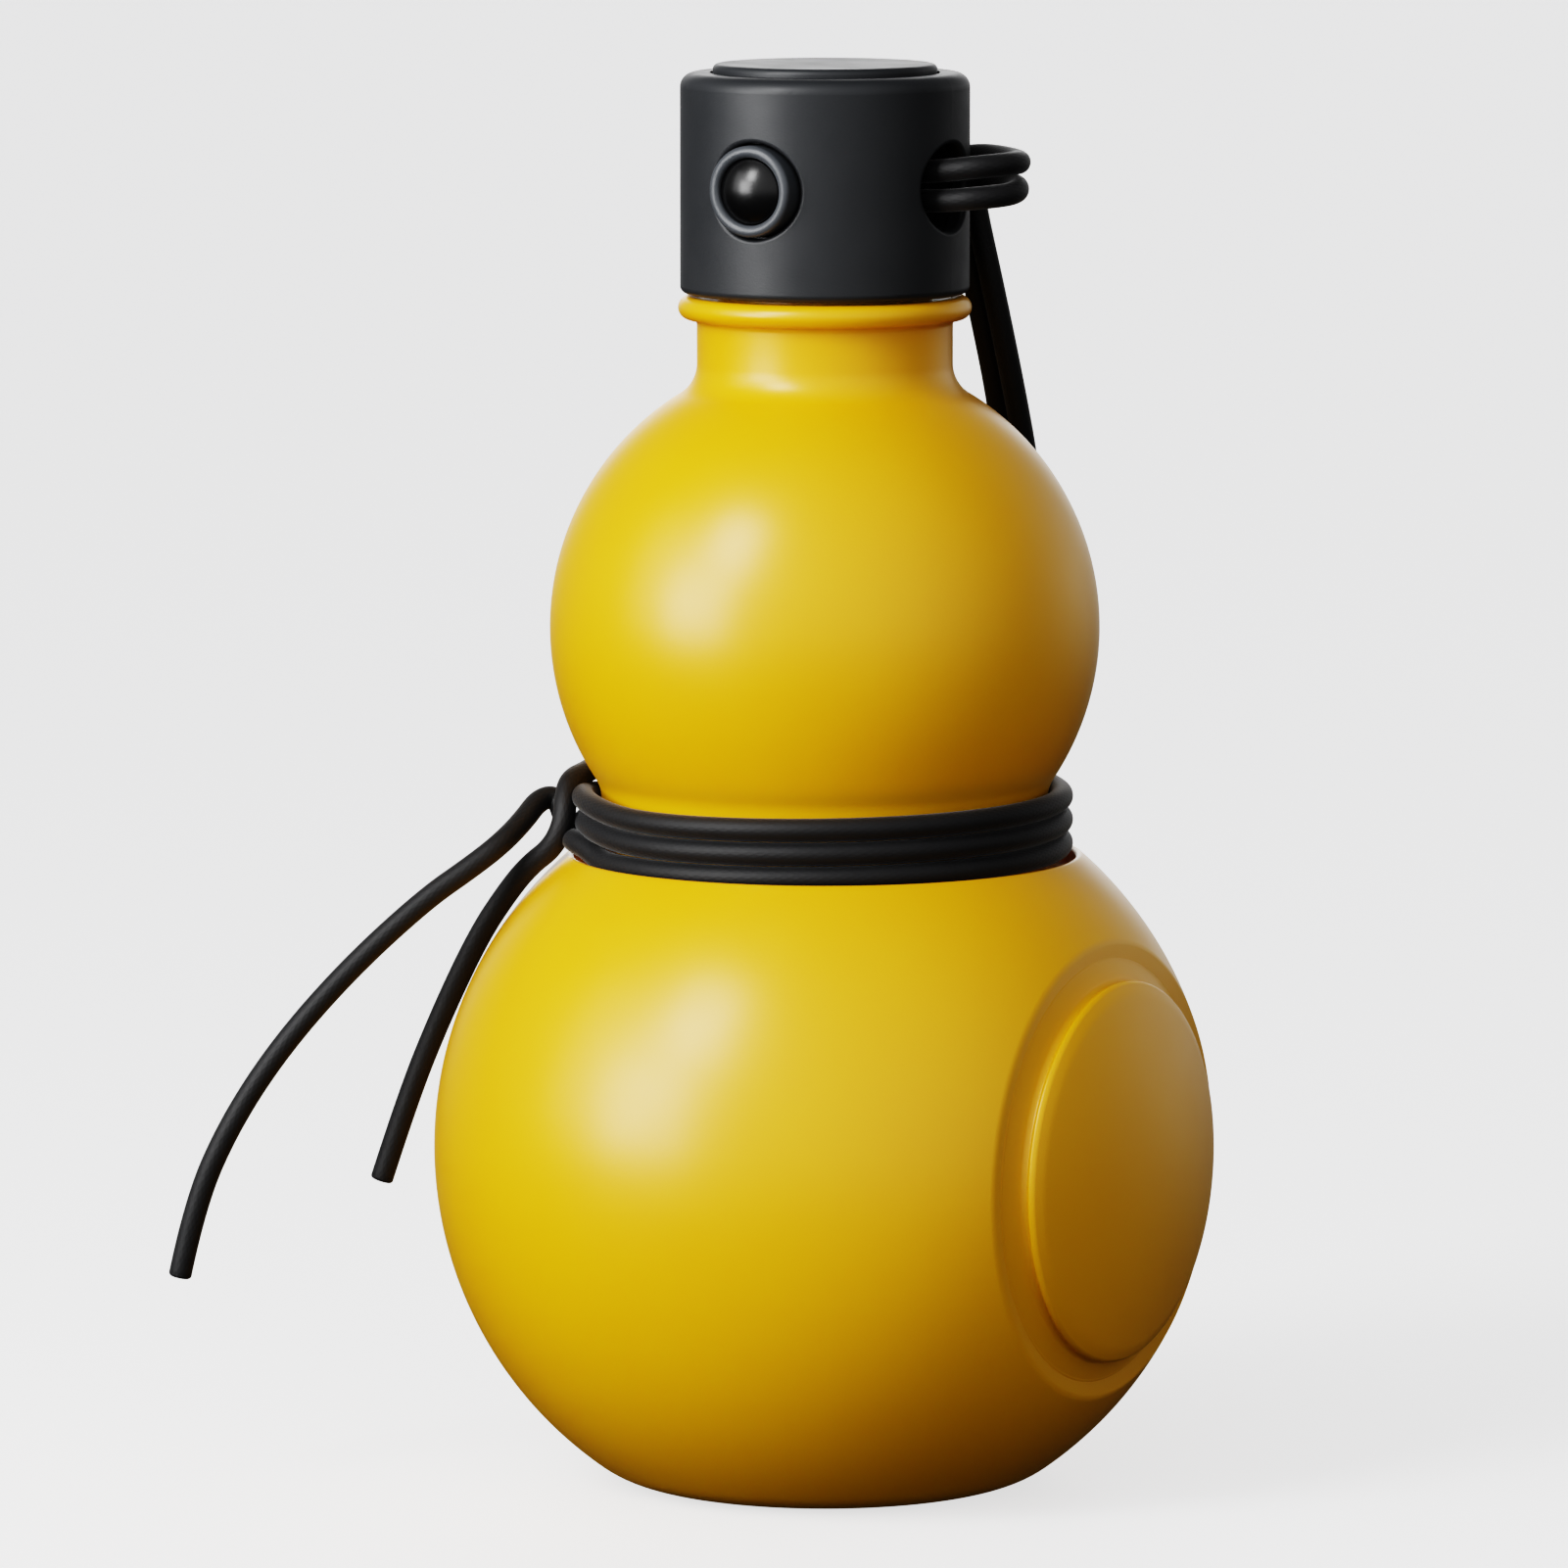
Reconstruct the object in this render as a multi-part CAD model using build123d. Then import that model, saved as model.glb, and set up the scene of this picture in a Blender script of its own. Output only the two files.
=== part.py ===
from build123d import *
import math
import os

# Gourd water bottle in millimetres. The origin is the centre of the foot, +Z points up,
# +X points to the mouth of the cord bore and -Y points to the push button.

# Clearances and one overrun for cuts
overrun = 1.0
fit_gap = 0.1
seat_gap = 0.2
soft_gap = 0.3

# Cord, and its turns round the waist
cord_d = 3.2
cord_r = cord_d / 2
cord_lane_gap = 0.3
cord_lane_half = cord_r + cord_lane_gap / 2
winding_gap = 0.45
winding_pitch = cord_d + winding_gap
winding_start_deg = 47.0
winding_end_deg = -868.0
winding_height = winding_pitch * (winding_start_deg - winding_end_deg) / 360
winding_lead = 6.3
arc_share = 0.45
gap_step_deg = 5

# Bottle body
shell_wall = 2.2
lower_bulb_r = 54.4
foot_cut = 7.6
lower_bulb_z = lower_bulb_r - foot_cut
foot_round_r = 14.3
foot_inner_round_r = foot_round_r - shell_wall
foot_recess = 0.9
foot_pad_r = 8.0
foot_ring_r = 19.0
waist_r = 31.0
waist_blend_r = 5.4
winding_r = waist_r + soft_gap + cord_r
groove_lip_r = winding_r + cord_r + soft_gap
groove_lip_z = lower_bulb_z + math.sqrt(lower_bulb_r ** 2 - groove_lip_r ** 2)
groove_depth = 3.99
groove_floor_z = groove_lip_z - groove_depth
winding_start_z = groove_floor_z + soft_gap + cord_r + winding_height
groove_lip_round = 0.6
groove_corner_round = 1.2
groove_floor_wall = 2.4
inner_step_round = 3.0
upper_bulb_r = 38.1
upper_bulb_rise = 23.7
upper_bulb_z = winding_start_z + upper_bulb_rise
finish_r = 15.3
shoulder_width = 2.4
neck_r = finish_r + shoulder_width
neck_wall = 2.3
neck_bore_r = neck_r - neck_wall
neck_foot_round = 5.0
bead_rise = 44.4
bead_z = upper_bulb_z + bead_rise
bead_tube_r = 1.6

# Screw finish of the neck, and its thread
shoulder_rise = 1.3
shoulder_z = bead_z + shoulder_rise
finish_height = 7.0
lip_z = shoulder_z + finish_height
lip_round = 0.5
finish_wall = 2.4
mouth_r = finish_r - finish_wall
mouth_taper = 3.0
thread_pitch = 4.0
thread_turns = 0.9
thread_depth = 1.0
thread_base = 2.2
thread_crest = 1.0
thread_root = 0.3
thread_start_z = shoulder_z + thread_base
thread_radial_gap = 0.25

# Round panel on the lower bulb
panel_r = 26.5
panel_rim_rise = 0.1
panel_rim_round = 0.9
panel_dome_r = 75.0
panel_rim_x = math.sqrt(lower_bulb_r ** 2 - panel_r ** 2) + panel_rim_rise
moat_width = 3.1
moat_r = panel_r + moat_width
moat_depth = 1.5
moat_wall = 1.6

# Cap shell
cap_wall = 2.2
liner_wall = 1.15
liner_bore_r = finish_r + thread_depth + thread_radial_gap
liner_r = liner_bore_r + liner_wall
cap_bore_r = liner_r + fit_gap
cap_r = cap_bore_r + cap_wall
cap_bead_overhang = 0.3
bead_r = cap_r + cap_bead_overhang
cap_bead_gap = 0.4
cap_bottom_z = bead_z + bead_tube_r + cap_bead_gap
cap_height = 30.4
cap_top_z = cap_bottom_z + cap_height
cap_top_wall = 2.7
cap_bottom_round = 1.0
cap_top_round = 2.0
cap_rim_width = 4.5
disc_r = cap_r - cap_rim_width
disc_gap = 0.4
disc_recess = 1.5
disc_recess_z = cap_top_z - disc_recess
disc_rise = 1.2
disc_round = 0.8
disc_gasket_thickness = 0.3
disc_gasket_width = 3.0
cap_ceiling_z = disc_recess_z - cap_top_wall

# Cap liner and gasket
liner_setback = 0.3
gasket_thickness = 0.9
gasket_r = finish_r - fit_gap
gasket_width = 3.7
deck_z = lip_z + seat_gap + gasket_thickness + fit_gap
deck_thickness = 1.2

# Lock housing and its screws
housing_z = deck_z + deck_thickness + fit_gap
housing_top_z = cap_ceiling_z - fit_gap
housing_r = cap_bore_r - seat_gap
housing_floor = 2.0
housing_rim = 1.6
housing_wall = 0.9
screw_head_r = 1.8
screw_inset = 1.3
screw_circle_r = disc_r - screw_head_r - screw_inset
screw_count = 4
screw_shank_r = 0.9
screw_head_height = 1.1
screw_length = 8.0
boss_wall = 1.6
boss_r = screw_shank_r + fit_gap + boss_wall

# Cord lock: button on -Y, cord bore on X, both at one height
lock_rise = 6.3
lock_z = housing_z + lock_rise
mouth_bore_r = 6.0
mouth_round = 0.7
cord_bore_room = 0.95
cord_bore_r = cord_lane_half + cord_r + cord_bore_room
bight_bore_step = 0.4
bight_bore_r = mouth_bore_r - bight_bore_step
bight_bore_start_x = 7.0
lane_y = -math.sqrt((cord_bore_r - cord_r - fit_gap) ** 2 - cord_lane_half ** 2)
button_travel = 2.2

# Button, its collar and the plunger
dome_r = 4.45
dome_rise = 1.7
dome_gap = 0.15
dome_inset = 0.6
bezel_r = 6.3
bezel_bore_r = dome_r + dome_gap
bezel_stand = 1.3
bezel_front_y = cap_r + bezel_stand
bezel_seat = 2.4
bezel_back_y = cap_bore_r - bezel_seat
bezel_round = 0.8
dome_edge_y = bezel_front_y - dome_inset
pocket_gap = 0.3
pocket_r = bezel_r + pocket_gap
pocket_round = 0.6
housing_arm_half = bezel_r + fit_gap + housing_wall
plunger_step = 0.6
plunger_r = bezel_bore_r + plunger_step
plunger_bore_r = plunger_r + fit_gap
plunger_front_y = bezel_back_y - seat_gap
plunger_stem_r = 2.8
plunger_stem_length = 4.3
slot_width = cord_d + button_travel + 2 * seat_gap
slot_end_gap = 0.35
slot_height = 2 * (cord_lane_half + cord_r + slot_end_gap)
slot_back_y = lane_y + cord_r + fit_gap

# Plunger spring and its cup
spring_r = 3.1
spring_wire = 0.7
spring_turns = 5
spring_side_gap = 0.45
spring_pocket_r = spring_r + spring_wire / 2 + spring_side_gap
spring_pocket_depth = 3.0
spring_cup_thickness = 1.0
spring_stud_gap = 0.75
spring_cup_stud_r = spring_r - spring_wire / 2 - spring_stud_gap
spring_cup_stud = 2.0
spring_room = 1.8
plunger_web = 2.2
plunger_tail_y = slot_back_y + plunger_web + spring_pocket_depth
spring_cup_y = plunger_tail_y + button_travel + spring_room + spring_cup_stud
plunger_bore_end_y = spring_cup_y + spring_cup_thickness

# Points of each free stretch of the cord, chosen by hand from the photograph's outline
leash_near_free = [
    (13.6, 20.8, 171.5), (14.4, 22.2, 165.3), (14.6, 27.6, 151.5), (13.6, 33.8, 139.5),
    (12.2, 38.4, 128.5), (10.6, 39.6, 119.5), (9.6, 39.2, 111.0), (9.8, 36.9, 104.0),
    (11.6, 34.15, 98.8),
]
leash_far_route = [
    (9.8, 22.0, 173.5), (10.6, 23.6, 165.5), (10.7, 29.4, 151.5), (9.4, 35.2, 139.5),
    (8.0, 39.8, 128.5), (6.0, 40.7, 118.5), (4.2, 39.9, 109.5), (1.6, 37.4, 102.4),
    (-4.4, 34.6, 98.0), (-13.6, 31.2, 96.9), (-23.2, 24.8, 96.9), (-30.3, 15.3, 97.0),
    (-33.9, 2.4, 97.2), (-32.4, -9.6, 97.6),
]
knot_over_route = [
    (-32.4, -9.6, 97.6), (-31.65, -15.6, 97.8), (-31.2, -19.8, 98.2), (-30.1, -21.9, 95.2),
    (-32.6, -23.9, 92.9),
]
knot_under_route = [
    (-35.0, -9.4, 90.4), (-34.2, -14.0, 91.4), (-34.3, -18.2, 91.1), (-36.1, -19.1, 87.7),
]
tail_long_route = [
    (-32.6, -23.9, 92.9), (-36.6, -27.1, 89.22), (-44.9, -33.3, 82.1), (-53.5, -39.4, 72.5),
    (-61.4, -44.7, 61.7), (-67.4, -48.5, 50.8), (-71.6, -50.8, 39.8), (-73.6, -51.7, 29.5),
]
tail_short_route = [
    (-36.1, -19.1, 87.7), (-37.9, -20.0, 84.3), (-43.4, -21.2, 75.9), (-48.7, -22.8, 64.4),
    (-53.0, -24.8, 52.6), (-56.2, -26.7, 41.0),
]
cap_cord_route = [
    (9.8, 22.0, 173.5), (9.06, 20.52, 180.9), (12.2, 19.2, 185.6), (19.0, 16.0, 186.0),
    (25.0, 10.6, 185.3), (27.8, 4.2, 184.6), (24.8, -1.4, 184.0), (18.6, -1.9, 183.1),
    (8.0, -1.9, 182.75), (-7.6, -1.9, 182.7), (-11.4, -1.9, 183.9), (-14.8, -1.9, 183.4),
    (-16.0, -1.9, 181.0), (-14.8, -1.9, 178.6), (-11.4, -1.9, 178.1), (-7.6, -1.9, 179.3),
    (8.0, -1.9, 179.25), (18.6, -1.9, 179.1), (24.6, -1.4, 179.4), (27.8, 4.0, 180.0),
    (24.8, 10.4, 181.0), (19.4, 15.4, 181.4), (14.0, 18.4, 180.4), (12.93, 19.63, 176.7),
    (13.6, 20.8, 171.5),
]


def height_on_bulb(bulb_r, bulb_z, r, side):
    """Height of a bulb's surface at radius r, above its centre for side 1, below it for -1."""
    return bulb_z + side * math.sqrt(bulb_r ** 2 - r ** 2)


def corner(face, r, z):
    """The vertex of a flat profile that lies nearest to (r, z)."""
    return face.vertices().sort_by_distance(Vector(r, z, 0))[0]


def rounded(face, corners):
    """Round the named corners of a flat profile, each given as (r, z, radius)."""
    for r, z, radius in corners:
        face = fillet(corner(face, r, z), radius)
    return face


def turned(face):
    """Turn a flat profile, drawn as (r, z), round the Z axis."""
    return revolve(Plane.XZ * face, Axis.Z)


def ring(outer_r, inner_r, z_low, z_high):
    """A plain ring, or a disc where inner_r is zero, between two heights."""
    height = z_high - z_low
    body = Pos(0, 0, z_low) * Cylinder(outer_r, height, align=(Align.CENTER, Align.CENTER, Align.MIN))
    if inner_r > 0:
        hole_height = height + 2 * overrun
        hole = Cylinder(inner_r, hole_height, align=(Align.CENTER, Align.CENTER, Align.MIN))
        body = body - Pos(0, 0, z_low - overrun) * hole
    return body


def rod_y(radius, y_low, y_high, z=lock_z):
    """A round bar along Y at height z."""
    bar = Cylinder(radius, y_high - y_low, align=(Align.CENTER, Align.CENTER, Align.MIN))
    return Pos(0, y_low, z) * Rot(-90, 0, 0) * bar


def rod_x(radius, x_low, x_high, z=lock_z):
    """A round bar along X at height z."""
    bar = Cylinder(radius, x_high - x_low, align=(Align.CENTER, Align.CENTER, Align.MIN))
    return Pos(x_low, 0, z) * Rot(0, 90, 0) * bar


def gourd_outside():
    """The full outer form of the bottle, from the foot to the lip."""
    foot_corner_r = math.sqrt(lower_bulb_r ** 2 - lower_bulb_z ** 2)
    waist_top_z = height_on_bulb(upper_bulb_r, upper_bulb_z, waist_r, -1)
    neck_foot_z = height_on_bulb(upper_bulb_r, upper_bulb_z, neck_r, 1)
    recess_middle_r = (foot_pad_r + foot_ring_r) / 2
    outline = [
        Line((0, 0), (foot_pad_r, 0)),
        ThreePointArc((foot_pad_r, 0), (recess_middle_r, foot_recess), (foot_ring_r, 0)),
        Line((foot_ring_r, 0), (foot_corner_r, 0)),
        ThreePointArc((foot_corner_r, 0), (lower_bulb_r, lower_bulb_z), (groove_lip_r, groove_lip_z)),
        Line((groove_lip_r, groove_lip_z), (groove_lip_r, groove_floor_z)),
        Line((groove_lip_r, groove_floor_z), (waist_r, groove_floor_z)),
        Line((waist_r, groove_floor_z), (waist_r, waist_top_z)),
        ThreePointArc((waist_r, waist_top_z), (upper_bulb_r, upper_bulb_z), (neck_r, neck_foot_z)),
        Line((neck_r, neck_foot_z), (neck_r, shoulder_z)),
        Line((neck_r, shoulder_z), (finish_r, shoulder_z)),
        Line((finish_r, shoulder_z), (finish_r, lip_z)),
        Line((finish_r, lip_z), (0, lip_z)),
        Line((0, lip_z), (0, 0)),
    ]
    profile = rounded(make_face(outline), [
        (foot_corner_r, 0, foot_round_r),
        (groove_lip_r, groove_lip_z, groove_lip_round),
        (groove_lip_r, groove_floor_z, groove_corner_round),
        (waist_r, groove_floor_z, groove_corner_round),
        (waist_r, waist_top_z, waist_blend_r),
        (neck_r, neck_foot_z, neck_foot_round),
        (finish_r, lip_z, lip_round),
    ])
    bead_profile = Pos(bead_r - bead_tube_r, bead_z) * Circle(bead_tube_r)
    return turned(profile) + turned(bead_profile)


def gourd_inside():
    """The hollow of the bottle, one wall inside the outer form."""
    lower_r = lower_bulb_r - shell_wall
    upper_r = upper_bulb_r - shell_wall
    waist_bore_r = waist_r - shell_wall
    floor_z = foot_recess + shell_wall
    step_z = groove_floor_z - groove_floor_wall
    floor_corner_r = math.sqrt(lower_r ** 2 - (lower_bulb_z - floor_z) ** 2)
    step_r = math.sqrt(lower_r ** 2 - (step_z - lower_bulb_z) ** 2)
    waist_top_z = height_on_bulb(upper_r, upper_bulb_z, waist_bore_r, -1)
    neck_foot_z = height_on_bulb(upper_r, upper_bulb_z, neck_bore_r, 1)
    taper_z = shoulder_z - mouth_taper
    top_z = lip_z + overrun
    outline = [
        Line((0, floor_z), (floor_corner_r, floor_z)),
        ThreePointArc((floor_corner_r, floor_z), (lower_r, lower_bulb_z), (step_r, step_z)),
        Line((step_r, step_z), (waist_bore_r, step_z)),
        Line((waist_bore_r, step_z), (waist_bore_r, waist_top_z)),
        ThreePointArc((waist_bore_r, waist_top_z), (upper_r, upper_bulb_z), (neck_bore_r, neck_foot_z)),
        Line((neck_bore_r, neck_foot_z), (neck_bore_r, taper_z)),
        Line((neck_bore_r, taper_z), (mouth_r, shoulder_z)),
        Line((mouth_r, shoulder_z), (mouth_r, top_z)),
        Line((mouth_r, top_z), (0, top_z)),
        Line((0, top_z), (0, floor_z)),
    ]
    profile = rounded(make_face(outline), [
        (floor_corner_r, floor_z, foot_inner_round_r),
        (step_r, step_z, inner_step_round),
        (waist_bore_r, step_z, inner_step_round),
        (waist_bore_r, waist_top_z, waist_blend_r),
        (neck_bore_r, neck_foot_z, neck_foot_round + shell_wall),
    ])
    return turned(profile)


def turned_on_panel(outline):
    """Turn a profile, drawn as (distance from the panel's axis, x), round the panel's axis."""
    body = turned(make_face(outline))
    return Pos(0, 0, lower_bulb_z) * Rot(0, 90, 0) * body


def dome_edge(crown_x, sphere_r, edge_r):
    """Arc of a shallow dome, from its crown out to radius edge_r, and the height that it ends at."""
    half_x = crown_x - sphere_r + math.sqrt(sphere_r ** 2 - (edge_r / 2) ** 2)
    edge_x = crown_x - sphere_r + math.sqrt(sphere_r ** 2 - edge_r ** 2)
    return ThreePointArc((0, crown_x), (edge_r / 2, half_x), (edge_r, edge_x)), edge_x


def panel_cut_and_disc():
    """What is cut off the bulb for the panel's moat, the panel's disc, and its back in the hollow."""
    crown_x = panel_rim_x + panel_dome_r - math.sqrt(panel_dome_r ** 2 - panel_r ** 2)
    moat_x = panel_rim_x - moat_depth
    moat_edge_x = math.sqrt(lower_bulb_r ** 2 - moat_r ** 2)
    far_x = lower_bulb_r + overrun
    cut = turned_on_panel([
        Line((0, moat_x), (panel_r, moat_x)),
        Line((panel_r, moat_x), (moat_r, moat_edge_x)),
        Line((moat_r, moat_edge_x), (moat_r, far_x)),
        Line((moat_r, far_x), (0, far_x)),
        Line((0, far_x), (0, moat_x)),
    ])
    dome, rim_x = dome_edge(crown_x, panel_dome_r, panel_r)
    root_x = moat_x - overrun
    disc_profile = make_face([
        dome,
        Line((panel_r, rim_x), (panel_r, root_x)),
        Line((panel_r, root_x), (0, root_x)),
        Line((0, root_x), (0, crown_x)),
    ])
    disc_profile = rounded(disc_profile, [(panel_r, rim_x, panel_rim_round)])
    disc = Pos(0, 0, lower_bulb_z) * Rot(0, 90, 0) * turned(disc_profile)
    back_rise = crown_x - shell_wall - (moat_x - moat_wall)
    back_sphere_r = (panel_r ** 2 + back_rise ** 2) / (2 * back_rise)
    back_edge_r = moat_r + 2 * shell_wall
    back_dome, back_edge_x = dome_edge(crown_x - shell_wall, back_sphere_r, back_edge_r)
    back = turned_on_panel([
        back_dome,
        Line((back_edge_r, back_edge_x), (back_edge_r, far_x)),
        Line((back_edge_r, far_x), (0, far_x)),
        Line((0, far_x), (0, crown_x - shell_wall)),
    ])
    return cut, disc, back


def thread(root_r, direction, start_z, start_deg):
    """One thread ridge: direction 1 stands out from a neck, -1 stands in from a liner."""
    height = thread_pitch * thread_turns
    path = Helix(thread_pitch, height, root_r)
    rise_angle = math.degrees(math.atan2(thread_pitch, 2 * math.pi * root_r))
    section = make_face(Polyline(
        (-direction * thread_root, -thread_base / 2),
        (direction * thread_depth, -thread_crest / 2),
        (direction * thread_depth, thread_crest / 2),
        (-direction * thread_root, thread_base / 2),
        close=True,
    ))
    start = Pos(root_r, 0, 0) * Rot(90 + rise_angle, 0, 0) * section
    ridge = sweep(start, path=path, is_frenet=True)
    return Pos(0, 0, start_z) * Rot(0, 0, start_deg) * ridge


def bottle_shell():
    cut, disc, back = panel_cut_and_disc()
    outside = gourd_outside() - cut + disc
    outside = outside + thread(finish_r, 1, thread_start_z, 0)
    return outside - (gourd_inside() - back)


def cap_shell():
    profile = make_face(Polyline(
        (0, cap_bottom_z), (cap_r, cap_bottom_z), (cap_r, cap_top_z), (0, cap_top_z), close=True,
    ))
    profile = rounded(profile, [
        (cap_r, cap_bottom_z, cap_bottom_round),
        (cap_r, cap_top_z, cap_top_round),
    ])
    body = turned(profile)
    body = body - ring(cap_bore_r, 0, cap_bottom_z - overrun, cap_ceiling_z)
    body = body - rod_x(mouth_bore_r, -cap_r - overrun, cap_r + overrun)
    body = body - rod_y(pocket_r, -cap_r - overrun, 0)
    mouth_edges = [e for e in body.edges() if is_side_rim(e, mouth_bore_r)]
    body = fillet(mouth_edges, mouth_round)
    pocket_edges = [e for e in body.edges() if is_side_rim(e, pocket_r)]
    body = fillet(pocket_edges, pocket_round)
    body = body - ring(disc_r + disc_gap, 0, disc_recess_z, cap_top_z + overrun)
    for place in screw_places():
        body = body - place * ring(screw_shank_r + fit_gap, 0, cap_ceiling_z - overrun, cap_top_z)
        body = body - place * ring(screw_head_r + fit_gap, 0, disc_recess_z - screw_head_height, cap_top_z)
    return body


def is_side_rim(edge, hole_r):
    """True for the outer rim of a side hole of radius hole_r in the cap's wall."""
    box = edge.bounding_box()
    tall = abs(box.size.Z - 2 * hole_r) < fit_gap
    reach = max(abs(box.min.X), abs(box.max.X), abs(box.min.Y), abs(box.max.Y))
    return tall and abs(reach - cap_r) < fit_gap


def screw_places():
    turn = 360 / screw_count
    half_turn = turn / 2
    return [Rot(0, 0, half_turn + turn * k) * Pos(screw_circle_r, 0, 0) for k in range(screw_count)]


def top_disc():
    low_z = disc_recess_z + disc_gasket_thickness
    high_z = cap_top_z + disc_rise
    profile = make_face(Polyline((0, low_z), (disc_r, low_z), (disc_r, high_z), (0, high_z), close=True))
    return turned(rounded(profile, [(disc_r, high_z, disc_round)]))


def disc_gasket():
    high_z = disc_recess_z + disc_gasket_thickness
    return ring(disc_r, disc_r - disc_gasket_width, disc_recess_z, high_z) - screw_heads_space()


def screw_heads_space():
    """The space over the screw heads, left open in the adhesive ring."""
    low_z = disc_recess_z - overrun
    heads = [place * ring(screw_head_r + fit_gap, 0, low_z, cap_top_z) for place in screw_places()]
    return Compound(children=heads)


def cap_screws():
    head_z = disc_recess_z - screw_head_height
    screws = []
    for place in screw_places():
        head = ring(screw_head_r, 0, head_z, disc_recess_z)
        shank = ring(screw_shank_r, 0, head_z - screw_length, head_z)
        screws.append(place * (head + shank))
    return Compound(children=screws)


def cap_liner():
    low_z = cap_bottom_z + liner_setback
    body = ring(liner_r, liner_bore_r, low_z, deck_z)
    body = body + ring(liner_r, 0, deck_z, deck_z + deck_thickness)
    half_pitch = thread_pitch / 2
    start_z = thread_start_z + soft_gap
    start_deg = 360 * (start_z - thread_start_z + half_pitch) / thread_pitch
    return body + thread(liner_bore_r, -1, start_z, start_deg)


def sealing_gasket():
    high_z = deck_z - fit_gap
    return ring(gasket_r, gasket_r - gasket_width, high_z - gasket_thickness, high_z)


def lock_housing():
    body = ring(housing_r, 0, housing_z, housing_top_z)
    floor_z = housing_z + housing_floor
    pocket_height = housing_top_z - floor_z + overrun
    pocket = ring(housing_r - housing_rim, 0, floor_z, floor_z + pocket_height)
    arm_width = 2 * housing_arm_half
    arm_z = floor_z + pocket_height / 2
    pocket = pocket - Pos(0, 0, arm_z) * Box(arm_width, 2 * cap_r, pocket_height + overrun)
    pocket = pocket - Pos(0, 0, arm_z) * Box(2 * cap_r, arm_width, pocket_height + overrun)
    for place in screw_places():
        pocket = pocket - place * ring(boss_r, 0, floor_z - overrun, housing_top_z + 2 * overrun)
    body = body - pocket
    hole_z = disc_recess_z - screw_head_height - screw_length - seat_gap
    for place in screw_places():
        body = body - place * ring(screw_shank_r + fit_gap, 0, hole_z, housing_top_z + overrun)
    body = body - rod_y(plunger_bore_r, -cap_r, plunger_bore_end_y)
    body = body - rod_y(bezel_r + fit_gap, -cap_r, -bezel_back_y)
    body = body - rod_x(cord_bore_r, -cap_r, cap_r)
    body = body - rod_x(bight_bore_r, -cap_r, -bight_bore_start_x)
    return body - rod_x(bight_bore_r, cap_bore_r - 2 * cap_wall, cap_r)


def button_bezel():
    body = rod_y(bezel_r, -bezel_front_y, -bezel_back_y)
    body = body - rod_y(bezel_bore_r, -bezel_front_y - overrun, 0)
    front = [e for e in body.edges() if abs(e.center().Y + bezel_front_y) < fit_gap]
    front = [e for e in front if abs(e.length) > overrun]
    rims = [e for e in front if e.geom_type == GeomType.CIRCLE]
    return fillet(rims, bezel_round)


def button_dome():
    dome_sphere_r = (dome_r ** 2 + dome_rise ** 2) / (2 * dome_rise)
    crown_y = dome_edge_y + dome_rise
    back_y = plunger_front_y + fit_gap / 2
    skirt = rod_y(dome_r, -crown_y, -back_y)
    ball = Pos(0, dome_sphere_r - crown_y, lock_z) * Sphere(dome_sphere_r)
    long_rod = rod_y(dome_r, -dome_edge_y, -back_y)
    socket = rod_y(plunger_stem_r + fit_gap / 2, -plunger_front_y - plunger_stem_length - fit_gap, 0)
    return (skirt & ball) + long_rod - socket


def lock_plunger():
    body = rod_y(plunger_r, -plunger_front_y, plunger_tail_y)
    body = body + rod_y(plunger_stem_r, -plunger_front_y - plunger_stem_length, -plunger_front_y)
    slot_y = slot_back_y - slot_width / 2
    body = body - Pos(0, slot_y, lock_z) * Box(2 * cap_r, slot_width, slot_height)
    return body - rod_y(spring_pocket_r, plunger_tail_y - spring_pocket_depth, plunger_tail_y + overrun)


def spring_cup():
    body = rod_y(plunger_bore_r - fit_gap, spring_cup_y, plunger_bore_end_y)
    return body + rod_y(spring_cup_stud_r, spring_cup_y - spring_cup_stud, spring_cup_y)


def biarc(p0, t0, p1, t1):
    """Two tangent arcs from p0 to p1 that keep both end directions."""
    chord = p1 - p0
    total = t0 + t1
    bend = 2 * (1 - t0.dot(t1))
    along = chord.dot(total)
    reach = (-along + math.sqrt(along ** 2 + bend * chord.dot(chord))) / bend
    q0 = p0 + t0 * reach
    q1 = p1 - t1 * reach
    joint = (q0 + q1) * (1 / 2)
    middle = (q1 - q0).normalized()
    return [TangentArc(p0, joint, tangent=t0), TangentArc(joint, p1, tangent=middle)]


def coil_points(radius, pitch, start_deg, end_deg, start_z, steps):
    """Places and directions along a coil round Z that climbs with the angle."""
    rows = []
    sense = 1 if end_deg > start_deg else -1
    rise = pitch / (2 * math.pi)
    for k in range(steps + 1):
        angle_deg = start_deg + (end_deg - start_deg) * k / steps
        angle = math.radians(angle_deg)
        climb = rise * math.radians(angle_deg - start_deg)
        place = Vector(radius * math.cos(angle), radius * math.sin(angle), start_z + climb)
        way = Vector(-radius * math.sin(angle), radius * math.cos(angle), rise) * sense
        rows.append((place, way.normalized()))
    return rows


def coil(radius, pitch, start_deg, end_deg, start_z, wire_d):
    """A round wire swept along a coil, in arcs of a quarter turn, with a straight run at each end."""
    steps = math.ceil(abs(end_deg - start_deg) / 90)
    rows = coil_points(radius, pitch, start_deg, end_deg, start_z, steps)
    first, first_way = rows[0]
    last, last_way = rows[-1]
    lead_in = first - first_way * wire_d
    edges = [Line(lead_in, first)]
    for (p0, t0), (p1, t1) in zip(rows, rows[1:]):
        edges += biarc(p0, t0, p1, t1)
    edges.append(Line(last, last + last_way * wire_d))
    path = Wire(edges)
    section = Plane(origin=lead_in, z_dir=first_way) * Circle(wire_d / 2)
    return sweep(section, path=path), path.length


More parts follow.
